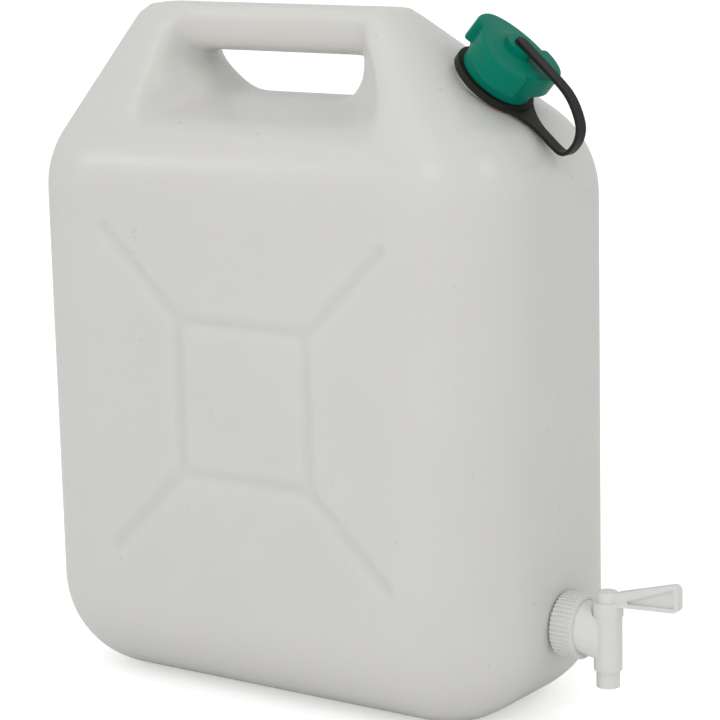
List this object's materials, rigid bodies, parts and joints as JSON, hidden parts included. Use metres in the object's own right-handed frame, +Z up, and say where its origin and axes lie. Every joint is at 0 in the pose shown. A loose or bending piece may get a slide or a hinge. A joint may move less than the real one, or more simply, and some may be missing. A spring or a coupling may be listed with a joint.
{
  "type": "carboy with spigot",
  "caption": "Flat-sided blow-moulded liquid carboy with a handle bar, a tethered screw cap on a slanted neck and a rotary spigot low on one end.",
  "frame": {"origin": "centre of the flat underside, on the surface it stands on", "axes": "+Z up, +X along the can's length towards the spigot, +Y towards the back broad side"},
  "size_m": [0.431, 0.184, 0.43],
  "materials": {
    "natural_polyethylene": "semi-gloss, slightly translucent",
    "green_plastic": "gloss",
    "foam_liner": "matt",
    "strap_plastic": "satin",
    "white_plastic": "satin",
    "washer_rubber": "matt"
  },
  "bodies": {
    "can": {"tank": "natural_polyethylene", "tap_nut": "white_plastic", "tap_washer": "washer_rubber", "tap_body": "white_plastic", "tether": "strap_plastic"},
    "liner": {"cap_liner": "foam_liner"},
    "cap": {"cap": "green_plastic"},
    "key": {"tap_key": "white_plastic"}
  },
  "joints": [
    {"name": "cap_lift", "type": "slide", "parent": "can", "child": "liner", "axis": [0.6626, 0, 0.749], "range_m": [0, 0.015], "deforming": ["tether"]},
    {"name": "cap_turn", "type": "hinge", "parent": "liner", "child": "cap", "pos_m": [0.1326, 0, 0.3911], "axis": [0.6626, 0, 0.749], "range_deg": [0, 1080]},
    {"name": "tap_turn", "type": "hinge", "parent": "can", "child": "key", "pos_m": [0.2064, 0, 0.0621], "axis": [0, 0, 1], "range_deg": [0, 90]}
  ],
  "couplings": [
    {"joint": "cap_lift", "follows": "cap_turn", "m_per_rad": 0.00079577}
  ]
}
